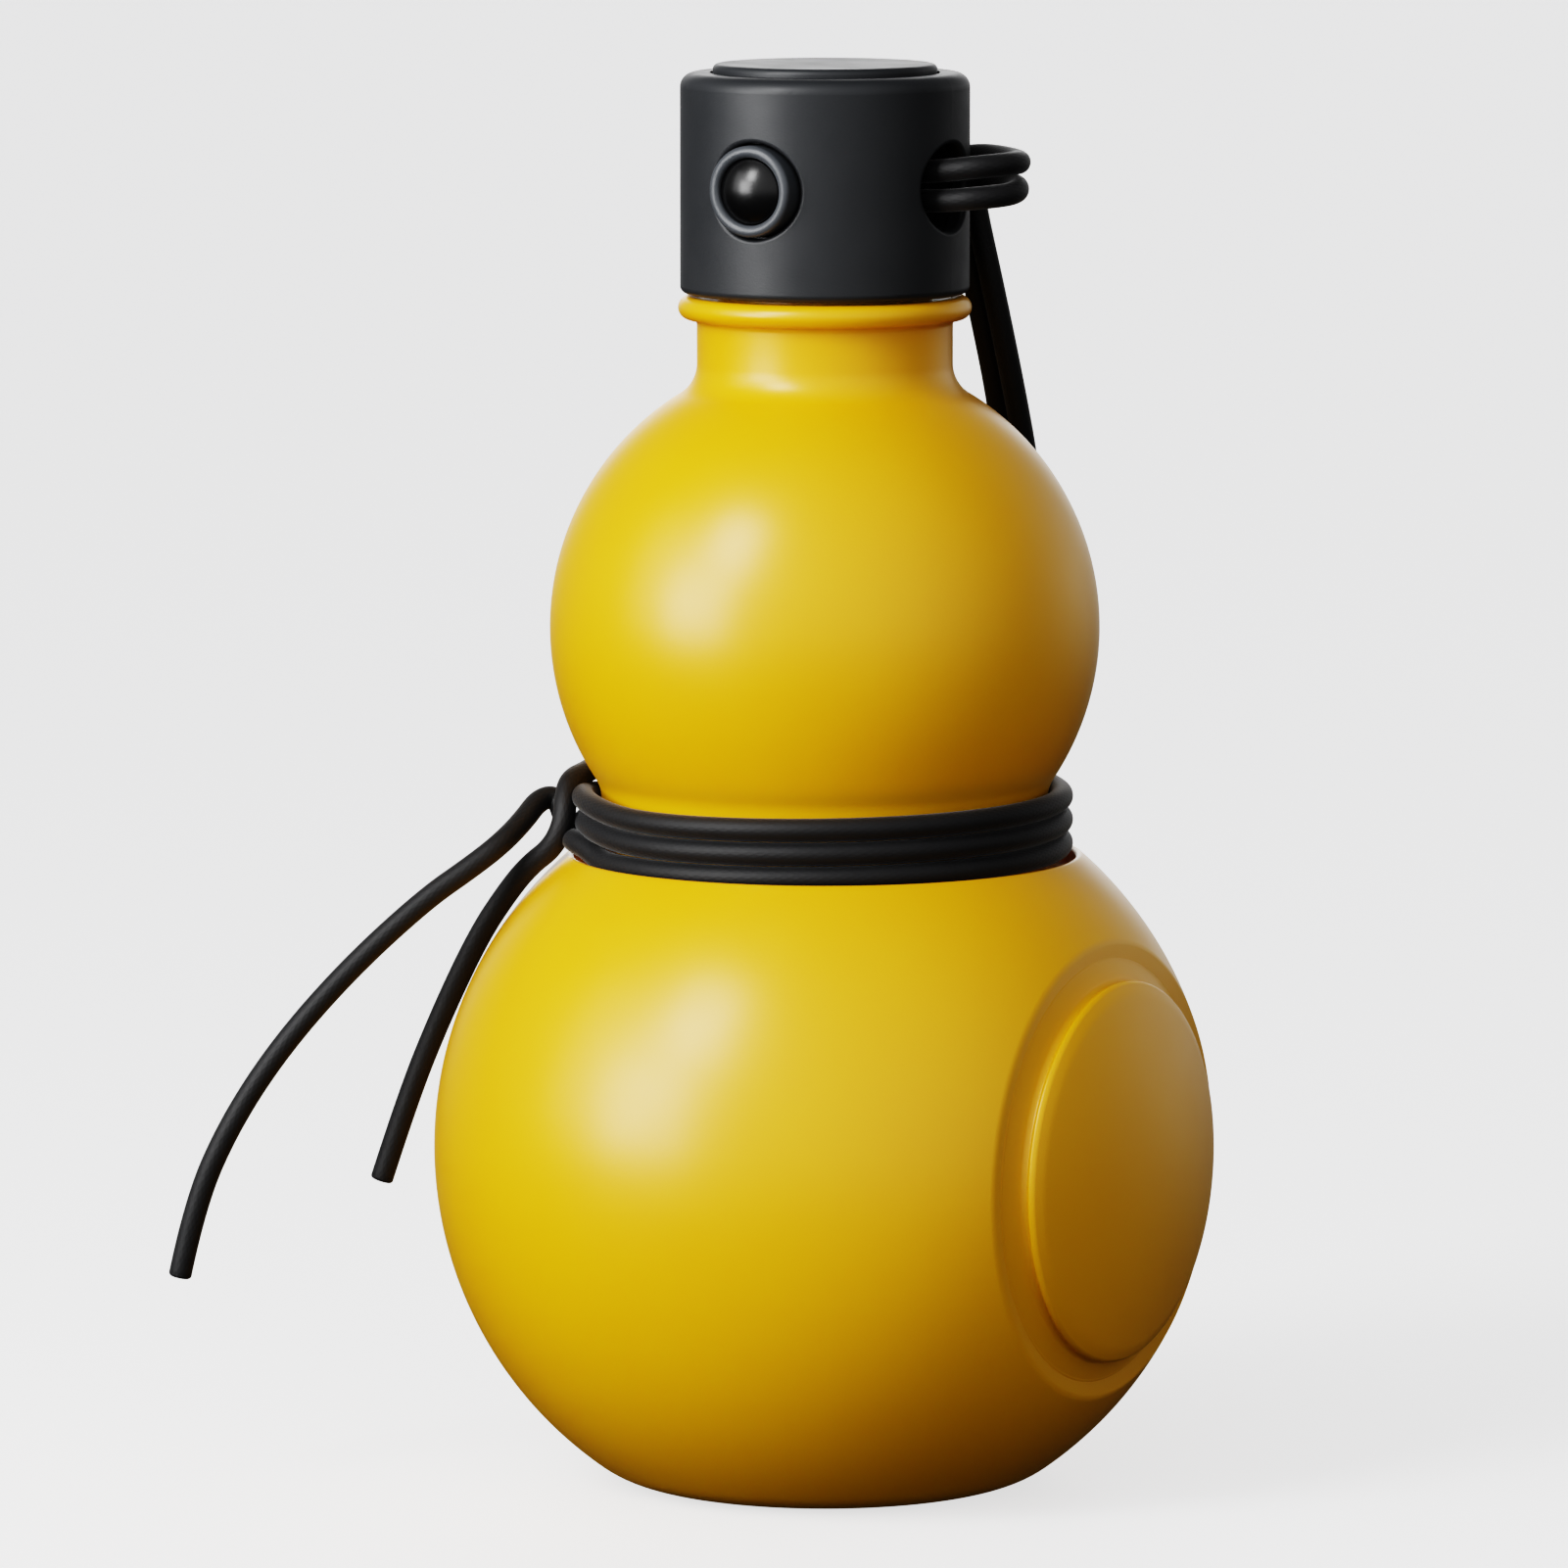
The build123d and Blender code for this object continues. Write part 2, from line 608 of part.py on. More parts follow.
def leash_near_route():
    """The near strand's points, ending in line with the straight start of the winding."""
    turn = (winding_start_deg, winding_end_deg, winding_start_z)
    first, way = coil_points(winding_r, winding_pitch, *turn, 1)[0]
    meet = first - way * cord_d
    return leash_near_free + [tuple(meet - way * winding_lead), tuple(meet)]


def coil_gap(radius, pitch, start_deg, end_deg, start_z, wire_d):
    """Least gap of a coil to itself, measured on points at least half a turn apart."""
    steps = math.ceil(abs(end_deg - start_deg) / gap_step_deg)
    places = [place for place, way in coil_points(radius, pitch, start_deg, end_deg, start_z, steps)]
    half_turn_steps = 180 // gap_step_deg
    least = math.inf
    for i, place in enumerate(places):
        for other in places[i + half_turn_steps:]:
            least = min(least, (place - other).length)
    return least - wire_d


def plunger_spring():
    low_y = plunger_tail_y - spring_pocket_depth + spring_wire / 2 + fit_gap
    high_y = spring_cup_y - spring_wire / 2 - fit_gap
    pitch = (high_y - low_y) / spring_turns
    body = coil(spring_r, pitch, 0, 360 * spring_turns, 0, spring_wire)[0]
    return Pos(0, low_y, lock_z) * Rot(-90, 0, 0) * body


def waist_winding():
    turns = (winding_start_deg, winding_end_deg, winding_start_z, cord_d)
    print("waist_winding least gap", round(coil_gap(winding_r, winding_pitch, *turns), 3))
    body, length = coil(winding_r, winding_pitch, *turns)
    report_volume("waist_winding", body, length)
    return body


def report_volume(name, body, length):
    """Compare a tube's volume with its section times its length."""
    section = math.pi * cord_r ** 2
    print(name, "length", round(length, 1), "volume", round(body.volume / (section * length), 4))


def arc_radii(route):
    """The largest arc that each corner's two runs allow, for a smooth cord."""
    points = [Vector(*p) for p in route]
    radii = []
    for before, at, after in zip(points, points[1:], points[2:]):
        run_in = at - before
        run_out = after - at
        turn = math.radians(run_in.get_angle(run_out))
        shorter = min(run_in.length, run_out.length)
        radii.append(arc_share * shorter / math.tan(turn / 2))
    return radii


def cord_path(route):
    return FilletPolyline(*route, radius=arc_radii(route))


def cord_tube(name, route):
    """A round cord along straight runs joined by tangent arcs."""
    path = cord_path(route)
    radii = arc_radii(route)
    first = Vector(*route[0])
    way = (Vector(*route[1]) - first).normalized()
    section = Plane(origin=first, z_dir=way) * Circle(cord_r)
    body = sweep(section, path=path)
    print(name, "least arc radius", round(min(radii), 1), "in diameters", round(min(radii) / cord_d, 1))
    report_volume(name, body, path.length)
    return body


def cord_knot():
    return cord_tube("knot_over", knot_over_route) + cord_tube("knot_under", knot_under_route)


def save(name, body):
    export_step(body, os.path.join("parts", name + ".step"))


def main():
    os.makedirs("parts", exist_ok=True)
    save("bottle_shell", bottle_shell())
    save("cap_shell", cap_shell())
    save("top_disc", top_disc())
    save("disc_gasket", disc_gasket())
    save("cap_screws", cap_screws())
    save("cap_liner", cap_liner())
    save("sealing_gasket", sealing_gasket())
    save("lock_housing", lock_housing())
    save("button_bezel", button_bezel())
    save("button_dome", button_dome())
    save("lock_plunger", lock_plunger())
    save("plunger_spring", plunger_spring())
    save("spring_cup", spring_cup())
    save("cap_cord", cord_tube("cap_cord", cap_cord_route))
    save("leash_near", cord_tube("leash_near", leash_near_route()))
    save("leash_far", cord_tube("leash_far", leash_far_route))
    save("waist_winding", waist_winding())
    save("cord_knot", cord_knot())
    save("tail_long", cord_tube("tail_long", tail_long_route))
    save("tail_short", cord_tube("tail_short", tail_short_route))


main()
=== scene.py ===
import math
from collections import namedtuple

import bpy
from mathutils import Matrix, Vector

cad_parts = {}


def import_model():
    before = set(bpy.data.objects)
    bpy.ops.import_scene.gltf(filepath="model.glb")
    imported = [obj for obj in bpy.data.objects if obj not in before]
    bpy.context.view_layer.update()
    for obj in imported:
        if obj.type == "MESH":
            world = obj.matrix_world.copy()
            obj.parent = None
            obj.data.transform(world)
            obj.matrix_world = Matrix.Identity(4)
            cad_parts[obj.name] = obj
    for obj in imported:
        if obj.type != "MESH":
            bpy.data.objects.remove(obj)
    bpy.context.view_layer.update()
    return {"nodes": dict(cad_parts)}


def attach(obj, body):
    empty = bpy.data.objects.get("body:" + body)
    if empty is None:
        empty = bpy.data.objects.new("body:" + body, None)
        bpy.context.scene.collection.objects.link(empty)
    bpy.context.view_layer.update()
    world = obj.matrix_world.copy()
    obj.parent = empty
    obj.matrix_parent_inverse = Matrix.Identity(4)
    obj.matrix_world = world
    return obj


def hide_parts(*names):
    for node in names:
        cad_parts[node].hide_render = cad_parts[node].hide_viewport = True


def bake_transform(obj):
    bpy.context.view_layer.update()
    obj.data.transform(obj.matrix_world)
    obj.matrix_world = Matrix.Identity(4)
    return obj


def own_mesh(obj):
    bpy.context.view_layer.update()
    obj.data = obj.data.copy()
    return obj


# Gourd water bottle. Lengths are in millimetres here and are turned into metres where meshes are made.
MM = 0.001

# Camera, at the photograph's viewing angle
CAMERA_AZIMUTH = 30.0
CAMERA_ELEVATION = 7.0
CAMERA_DISTANCE = 1500.0
CAMERA_LENS = 248.0
CAMERA_NEAREST, CAMERA_FARTHEST = 50.0, 20000.0
AIM_RIGHT = -5.65
AIM_HEIGHT = 97.5

# Cord, and how its cut ends are softened: a rounding, and the places of its rings as shares of it
CORD_D = 3.2
CORD_R = CORD_D / 2
CORD_SIDES = 32
SPLINE_STEPS = 16
END_ROUND = 0.45
END_SHARES = (0.0, 0.4, 0.75, 0.95)

# Turns round the waist. WINDING_POINTS is for one turn, and the mesh is parted after point WINDING_JOIN.
WINDING_R = 32.9
WINDING_PITCH = 3.3
WINDING_START = 47.0
WINDING_START_Z = 96.2
WINDING_POINTS = 24
WINDING_JOIN = 57

# The knot's strand, and how far each turn is lifted and pushed outward where it rides over that strand
KNOT_ANGLE = -148.0
KNOT_SPREAD = 21.0
KNOT_LIFTS = (1.8, 1.6, 0.9)
KNOT_PUSHES = (0.8, 0.4, 0.0)

# The cord's routes, as in the part's source, with more points where the knot is tied. The leash's foot
# leads its near strand into the turns.
LEASH_NEAR = [
    (13.6, 20.8, 171.5), (14.4, 22.2, 165.3), (14.6, 27.6, 151.5), (13.6, 33.8, 139.5),
    (12.2, 38.4, 128.5), (10.6, 39.6, 119.5), (9.6, 39.2, 111.0), (9.8, 36.9, 104.0),
    (11.6, 34.15, 98.8),
]
LEASH_FOOT = [(15.49, 30.54, 96.35), (20.1, 26.24, 96.26)]
CORD_FAR = [
    (9.8, 22.0, 173.5), (10.6, 23.6, 165.5), (10.7, 29.4, 151.5), (9.4, 35.2, 139.5),
    (8.0, 39.8, 128.5), (6.0, 40.7, 118.5), (4.2, 39.9, 109.5), (1.6, 37.4, 102.4),
    (-4.4, 34.6, 98.6), (-13.6, 31.2, 97.7), (-23.2, 24.8, 97.9), (-30.3, 15.3, 98.2),
    (-34.0, 2.5, 98.6), (-33.1, -5.8, 98.9), (-31.3, -12.1, 98.6), (-31.0, -17.2, 98.0),
    (-30.1, -19.8, 95.6), (-29.6, -21.1, 92.4), (-31.2, -21.5, 89.0), (-35.3, -20.9, 86.2),
    (-38.9, -20.6, 82.4), (-43.4, -21.2, 75.9), (-48.7, -22.8, 64.4), (-53.0, -24.8, 52.6),
    (-56.2, -26.7, 41.0),
]
CORD_NEAR_END = [
    (-20.2, -26.2, 88.2), (-24.1, -23.9, 89.6), (-27.3, -22.1, 90.2), (-30.0, -18.5, 90.2),
    (-32.6, -16.0, 92.6), (-34.5, -14.8, 95.2), (-36.2, -16.7, 95.0), (-36.3, -21.2, 92.2),
    (-36.9, -26.0, 89.6), (-39.7, -29.2, 86.6), (-44.9, -33.3, 82.1), (-53.5, -39.4, 72.5),
    (-61.4, -44.7, 61.7), (-67.4, -48.5, 50.8), (-71.6, -50.8, 39.8), (-73.6, -51.7, 29.5),
]
CORD_IN_CAP = [
    (9.8, 22.0, 173.5), (9.16, 20.72, 179.9), (8.2, 20.9, 183.4), (13.5, 19.8, 184.3),
    (19.2, 16.2, 184.3), (25.0, 10.6, 184.2), (27.8, 4.2, 184.4), (24.8, -1.4, 184.1),
    (18.6, -1.9, 183.3), (8.0, -1.9, 182.75), (-7.6, -1.9, 182.7), (-11.4, -1.9, 183.9),
    (-14.8, -1.9, 183.4), (-16.0, -1.9, 181.0), (-14.8, -1.9, 178.6), (-11.4, -1.9, 178.1),
    (-7.6, -1.9, 179.3), (8.0, -1.9, 179.25), (18.6, -1.9, 179.2), (24.6, -1.4, 179.8),
    (27.8, 4.0, 180.2), (24.8, 10.4, 180.8), (19.4, 15.6, 180.9), (12.8, 18.9, 180.5),
    (12.93, 19.63, 176.7), (13.6, 20.8, 171.5),
]

# Bottle body
WALL = 2.2
LOWER_R, LOWER_Z = 54.4, 46.8
UPPER_R, UPPER_Z = 38.1, 119.5
FOOT_ROUND = 14.3
FOOT_PAD_R, FOOT_RING_R, FOOT_RECESS = 8.0, 19.0, 0.9
WAIST_R = 31.0
WAIST_BLEND = 5.4
GROOVE_LIP_R = 34.8
GROOVE_FLOOR_Z = 84.62
GROOVE_LIP_ROUND = 0.6
GROOVE_ROUND = 1.2
GROOVE_FLOOR_WALL = 2.4
INNER_ROUND = 3.0
NECK_R, NECK_BORE_R = 17.7, 15.4
NECK_FOOT = 5.0
NECK_BEAD_BLEND = 0.8
BEAD_R, BEAD_Z, BEAD_TUBE = 20.3, 163.9, 1.6
SHOULDER_Z = 165.2
FINISH_R, MOUTH_R = 15.3, 12.9
LIP_Z = 172.2
LIP_ROUND = 0.5
CORNER_ROUND = 0.3
MOUTH_TAPER = 3.0

# Neck thread. Its fade and its step are in degrees.
THREAD_PITCH, THREAD_TURNS = 4.0, 0.9
THREAD_DEPTH, THREAD_BASE, THREAD_CREST, THREAD_ROOT = 1.0, 2.2, 1.0, 0.3
THREAD_SOFT = 0.2
THREAD_START_Z = 167.4
THREAD_FADE = 18.0
THREAD_STEP = 4

# Round panel on the lower bulb, round the X axis, in a patch of the bulb that is skinned anew
PANEL_R = 26.5
PANEL_RIM_X = 47.61
PANEL_DOME_R = 75.0
PANEL_RIM_ROUND = 1.2
PANEL_CROWN_X = PANEL_RIM_X + PANEL_DOME_R - math.sqrt(PANEL_DOME_R ** 2 - PANEL_R ** 2)
MOAT_R = 29.6
MOAT_X = 46.11
MOAT_WALL = 1.6
MOAT_EDGE_ROUND = 2.5
MOAT_FOOT_ROUND = 0.5
PATCH_R = 33.0
PATCH_HALF_DEG = 42

# Fineness of the skin: segments round the bottle, rings of the patch, and steps in each arc of an outline
SEGMENTS = 360
PATCH_RINGS, PATCH_EDGE_RINGS, PANEL_RING_STEP, PANEL_ROUND_STEPS = 16, 3, 1, 8
BOW_STEPS, FOOT_STEPS, LOWER_STEPS, LIP_STEPS, GROOVE_STEPS, WAIST_STEPS = 14, 12, 12, 8, 6, 10
UPPER_STEPS, NECK_STEPS, BEAD_FOOT_STEPS, BEAD_STEPS, MOUTH_STEPS = 90, 12, 8, 24, 5
INNER_NECK_STEPS, INNER_UPPER_STEPS, INNER_WAIST_STEPS = 10, 40, 8
INNER_GROOVE_STEPS, INNER_LOWER_STEPS, INNER_FOOT_STEPS = 6, 60, 10

# Colours, linear. The second tone of a pair is the one that the first drifts to.
YELLOW, YELLOW_DEEP = (0.83, 0.415, 0.004), (0.81, 0.395, 0.004)
CHARCOAL, CHARCOAL_LIGHT = (0.03, 0.032, 0.035), (0.034, 0.036, 0.039)
CORD_BLACK, CORD_BLACK_LIGHT = (0.009, 0.009, 0.01), (0.012, 0.012, 0.013)
BEZEL_GREY, BEZEL_GREY_DEEP = (0.078, 0.084, 0.092), (0.07, 0.076, 0.084)
LOCK_BLACK, LOCK_BLACK_LIGHT = (0.02, 0.02, 0.022), (0.026, 0.026, 0.028)
FOAM_BLACK, FOAM_BLACK_LIGHT = (0.03, 0.03, 0.03), (0.045, 0.045, 0.045)
LINER_GREY, LINER_GREY_LIGHT = (0.05, 0.052, 0.058), (0.06, 0.062, 0.068)
SEAL_WHITE, SEAL_WHITE_DEEP = (0.62, 0.62, 0.6), (0.56, 0.56, 0.54)
BUTTON_BLACK = (0.005, 0.005, 0.0055)
ZINC = (0.55, 0.55, 0.56)
SPRING_STEEL = (0.6, 0.6, 0.61)

# Surface detail: the grain's size and depth, and the sizes of the patches of gloss and of tone
Texture = namedtuple("Texture", "grain depth glosses tones", defaults=(None,))
YELLOW_TEXTURE = Texture(grain=0.45, depth=0.012, glosses=9.0, tones=26.0)
CHARCOAL_TEXTURE = Texture(grain=0.3, depth=0.014, glosses=5.0, tones=8.0)
PLAIN_TEXTURE = Texture(grain=0.4, depth=0.01, glosses=4.0, tones=6.0)
BEZEL_TEXTURE = Texture(grain=0.3, depth=0.008, glosses=4.0, tones=6.0)
FOAM_TEXTURE = Texture(grain=0.5, depth=0.05, glosses=4.0, tones=6.0)
BUTTON_TEXTURE = Texture(grain=1.8, depth=0.01, glosses=2.0)
STEEL_TEXTURE = Texture(grain=0.25, depth=0.006, glosses=1.2)
PLAIN_GLOSS_SHARES = (0.9, 1.1)
STEEL_GLOSS_SHARES = (0.8, 1.25)
NOISE_MIDDLE, NOISE_SPREAD = 0.5, 0.25
NOISE_DETAIL, FINE_NOISE_DETAIL = 2.0, 3.0
YELLOW_GLOW_DEPTH = 2.5
CORD_TONES = 2.0
CORD_YARNS = 16
CORD_YARN_STEP = 1.6
CORD_YARN_DEPTH = 0.009

# Studio: each soft box's name, direction (right, up, toward the camera), size and power
LIGHT_DISTANCE = 900.0
LIGHTS = [
    ("key", (-0.56, 0.53, 0.63), (260, 340), 3.3),
    ("left_strip", (-0.8, 0.14, 0.58), (420, 380), 3.6),
    ("left_panel", (-0.9, 0.3, 0.3), (500, 600), 1.4),
]

# Surround: each glow's name, direction, narrowness and strength
GLOWS = [
    ("glow_left", (-1, 0, 0), 1.0, 0.16),
    ("glow_front", (0, 0.02, 1), 1.0, 0.86),
    ("glow_back", (0, 0.1, -1), 1.0, 0.15),
    ("glow_horizon", (0, 0.3, -1), 25.0, 2.6),
    ("glow_right_rim", (0.8, 0.1, -0.6), 8.0, 0.6),
]

# The surround's fade below the horizon: from one height to another, and from one strength to another
HORIZON_SHADE = (-0.3, 0.1, 0.1, 1.0)
RANGE_INPUTS = ("From Min", "From Max", "To Min", "To Max")

# Floor
FLOOR_COLOUR = (0.8, 0.8, 0.8)
FLOOR_ROUGHNESS = 0.7
FLOOR_GLOW = (0.75, 0.75, 0.76, 1.0)
FLOOR_REACH = 4000.0

# A row along a cord: its place, the way it runs, a side that never twists and the distance so far
Row = namedtuple("Row", "place way side along")


def in_metres(point):
    return tuple(c * MM for c in point)


def mesh_object(name, points, faces, material):
    """A new smooth object from points in metres."""
    mesh = bpy.data.meshes.new(name)
    mesh.from_pydata(points, [], faces)
    mesh.shade_smooth()
    mesh.materials.append(material)
    piece = bpy.data.objects.new(name, mesh)
    bpy.context.scene.collection.objects.link(piece)
    return piece


def spline_line(points):
    """Points in metres along the smooth open NURBS spline whose control points are a route."""
    data = bpy.data.curves.new("route_line", "CURVE")
    data.dimensions = "3D"
    spline = data.splines.new("NURBS")
    spline.points.add(len(points) - 1)
    for place, point in zip(spline.points, points):
        place.co = (*in_metres(point), 1.0)
    spline.order_u = 3
    spline.use_endpoint_u = True
    spline.resolution_u = SPLINE_STEPS
    curve = bpy.data.objects.new("route_line", data)
    bpy.context.scene.collection.objects.link(curve)
    mesh = bpy.data.meshes.new_from_object(curve)
    line = [v.co.copy() for v in mesh.vertices]
    bpy.data.meshes.remove(mesh)
    bpy.data.objects.remove(curve)
    bpy.data.curves.remove(data)
    return line


def cord_rows(line):
    """The rows of a cord that follows a line in metres."""
    ways = [(b - a).normalized() for a, b in zip(line, line[1:])]
    tangents = [ways[0]] + [(a + b).normalized() for a, b in zip(ways, ways[1:])] + [ways[-1]]
    side = tangents[0].orthogonal().normalized()
    along = 0.0
    rows = []
    for k, (place, way) in enumerate(zip(line, tangents)):
        if k:
            along += (place - line[k - 1]).length
        side = (side - way * side.dot(way)).normalized()
        rows.append(Row(place, way, side, along))
    return rows


def cut_end_rings(end):
    """Rings that soften the cord's square end, from the full section to the end."""
    soft = END_ROUND * MM
    rings = []
    for share in END_SHARES:
        inset = soft * (1 - math.sqrt(1 - share ** 2))
        place = end.place - end.way * soft * (1 - share)
        rings.append((Row(place, end.way, end.side, end.along), CORD_R * MM - inset))
    return rings


def ring_points(row, radius):
    other = row.way.cross(row.side)
    points = []
    for j in range(CORD_SIDES):
        a = 2 * math.pi * j / CORD_SIDES
        points.append(row.place + row.side * (radius * math.cos(a)) + other * (radius * math.sin(a)))
    return points


def second_ring(points, first):
    """A ring of points again, so that a closing fan on it doesn't bend the cord's shading."""
    points += points[first:first + CORD_SIDES]
    return len(points) - CORD_SIDES


def close_end(points, faces, uvs, row, first, sense):
    """A fan from the ring that starts at a point to the middle of the cord's end."""
    hub = len(points)
    points.append(row.place)
    for j in range(CORD_SIDES):
        n = (j + 1) % CORD_SIDES
        faces.append((hub, first + j, first + n)[::sense])
        uvs += [(j, row.along)] * 3


def tube(name, rows, material, cut_end=False):
    """A round cord along some rows. A cut end is square and softened, any other end meets something."""
    end = rows[-1]
    rings = [(row, CORD_R * MM) for row in rows]
    if cut_end:
        rings = [(row, r) for row, r in rings if end.along - row.along >= 2 * END_ROUND * MM]
        rings += cut_end_rings(end)
    points = []
    for row, radius in rings:
        points += ring_points(row, radius)
    faces, uvs = [], []
    for i, ((near, _), (far, _)) in enumerate(zip(rings, rings[1:])):
        low, high = i * CORD_SIDES, (i + 1) * CORD_SIDES
        for j in range(CORD_SIDES):
            n = (j + 1) % CORD_SIDES
            faces.append((low + j, low + n, high + n, high + j))
            uvs += [(j, near.along), (j + 1, near.along), (j + 1, far.along), (j, far.along)]
    last = (len(rings) - 1) * CORD_SIDES
    close_end(points, faces, uvs, rows[0], second_ring(points, 0), -1)
    close_end(points, faces, uvs, end, last if cut_end else second_ring(points, last), 1)
    piece = mesh_object(name, points, faces, material)
    layer = piece.data.uv_layers.new(name="cord")
    for k, (j, along) in enumerate(uvs):
        layer.data[k].uv = (j / CORD_SIDES, along / MM)
    return piece


def winding_points(last_step):
    """Control points of the turns round the waist, which ride a little over the knot's strand."""
    step = 360 / WINDING_POINTS
    # Halfway along its spans the spline lies this share of its points' radius from the axis
    spline_share = (3 + math.cos(math.radians(step))) / 4
    reach = WINDING_R / spline_share
    rows = []
    for k in range(last_step + 1):
        angle = WINDING_START - step * k
        away = (angle - KNOT_ANGLE + 180) % 360 - 180
        bump = math.exp(-(away / KNOT_SPREAD) ** 2)
        turn = min(int(step * k // 360), len(KNOT_LIFTS) - 1)
        a = math.radians(angle)
        r = reach + KNOT_PUSHES[turn] * bump
        z = WINDING_START_Z - WINDING_PITCH * step * k / 360 + KNOT_LIFTS[turn] * bump
        rows.append((r * math.cos(a), r * math.sin(a), z))
    return rows


def blend_leash(piece):
    """Bake the strand's placement into its mesh."""
    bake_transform(piece)


def cords(material):
    far = cord_rows(spline_line(CORD_FAR))
    piece = tube("cord_far", far, material, cut_end=True)
    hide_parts("leash_far", "cord_knot", "tail_short")
    blend_leash(piece)

    turns = winding_points(WINDING_JOIN + 2)
    join = tuple((a + b) / 2 for a, b in zip(turns[WINDING_JOIN], turns[WINDING_JOIN + 1]))
    near_line = spline_line(LEASH_NEAR + LEASH_FOOT + turns[:WINDING_JOIN + 1] + [join])
    end_line = spline_line([join] + turns[WINDING_JOIN + 1:] + CORD_NEAR_END)
    whole = cord_rows(near_line + end_line[1:])
    near, end = whole[:len(near_line)], whole[len(near_line) - 1:]
    piece = tube("cord_near", near, material)
    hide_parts("leash_near", "waist_winding")
    blend_leash(piece)
    piece = tube("cord_near_end", end, material, cut_end=True)
    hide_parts("tail_long")
    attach(piece, "bottle")

    inner = cord_rows(spline_line(CORD_IN_CAP))
    piece = tube("cord_through_cap", inner, material)
    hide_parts("cap_cord")
    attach(piece, "cap")


def arc(centre, radius, start, end, steps):
    """Points of an arc in the (r, z) plane, both ends included."""
    points = []
    for k in range(steps + 1):
        a = math.radians(start + (end - start) * k / steps)
        points.append((centre[0] + radius * math.cos(a), centre[1] + radius * math.sin(a)))
    return points


def angle_to(x, y):
    return math.degrees(math.atan2(y, x))


def rounded_profile(rows, steps):
    """A line through (a, b, radius) rows whose corners are rounded by tangent arcs."""
    out = [rows[0][:2]]
    for (ax, ay, _), (bx, by, br), (cx, cy, _) in zip(rows, rows[1:], rows[2:]):
        if not br:
            out.append((bx, by))
            continue
        corner = Vector((bx, by))
        back = (Vector((ax, ay)) - corner).normalized()
        ahead = (Vector((cx, cy)) - corner).normalized()
        half = back.angle(ahead) / 2
        reach = br / math.tan(half)
        centre = corner + (back + ahead).normalized() * (br / math.sin(half))
        first = corner + back * reach - centre
        last = corner + ahead * reach - centre
        for k in range(steps + 1):
            spoke = first.slerp(last, k / steps)
            out.append(tuple(centre + spoke))
    out.append(rows[-1][:2])
    return out


def foot_outline():
    """The foot's shallow recess and its round edge, and the angle at which the edge meets the bulb."""
    half_width = (FOOT_RING_R - FOOT_PAD_R) / 2
    bow_r = (half_width ** 2 + FOOT_RECESS ** 2) / (2 * FOOT_RECESS)
    bow = math.degrees(math.asin(half_width / bow_r))
    middle = ((FOOT_PAD_R + FOOT_RING_R) / 2, FOOT_RECESS - bow_r)
    reach = LOWER_R - FOOT_ROUND
    foot_r = math.sqrt(reach ** 2 - (LOWER_Z - FOOT_ROUND) ** 2)
    foot_angle = angle_to(foot_r, FOOT_ROUND - LOWER_Z)
    line = [(FOOT_PAD_R, 0.0)]
    line += arc(middle, bow_r, 90 + bow, 90 - bow, BOW_STEPS)
    line += arc((foot_r, FOOT_ROUND), FOOT_ROUND, -90, foot_angle, FOOT_STEPS)
    return line, foot_angle


def groove_outline():
    """The lip where the lower bulb turns in, and the groove that the cord lies in."""
    lip_r = GROOVE_LIP_R + GROOVE_LIP_ROUND
    lip_z = LOWER_Z + math.sqrt((LOWER_R - GROOVE_LIP_ROUND) ** 2 - lip_r ** 2)
    lip_angle = angle_to(lip_r, lip_z - LOWER_Z)
    line = arc((0, LOWER_Z), LOWER_R, PATCH_HALF_DEG, lip_angle, LIP_STEPS)[1:-1]
    line += arc((lip_r, lip_z), GROOVE_LIP_ROUND, lip_angle, 180, LIP_STEPS)
    floor = GROOVE_FLOOR_Z + GROOVE_ROUND
    line += arc((GROOVE_LIP_R - GROOVE_ROUND, floor), GROOVE_ROUND, 0, -90, GROOVE_STEPS)
    line += arc((WAIST_R + GROOVE_ROUND, floor), GROOVE_ROUND, -90, -180, GROOVE_STEPS)
    return line


def upper_outline():
    """The waist's blend, the upper bulb and the blend into the neck."""
    blend_r = WAIST_R + WAIST_BLEND
    blend_z = UPPER_Z - math.sqrt((UPPER_R + WAIST_BLEND) ** 2 - blend_r ** 2)
    blend_angle = angle_to(-blend_r, UPPER_Z - blend_z)
    neck_r = NECK_R + NECK_FOOT
    neck_z = UPPER_Z + math.sqrt((UPPER_R + NECK_FOOT) ** 2 - neck_r ** 2)
    neck_angle = angle_to(neck_r, neck_z - UPPER_Z)
    line = arc((blend_r, blend_z), WAIST_BLEND, 180, blend_angle, WAIST_STEPS)
    line += arc((0, UPPER_Z), UPPER_R, blend_angle - 180, neck_angle, UPPER_STEPS)[1:-1]
    line += arc((neck_r, neck_z), NECK_FOOT, neck_angle + 180, 180, NECK_STEPS)
    return line


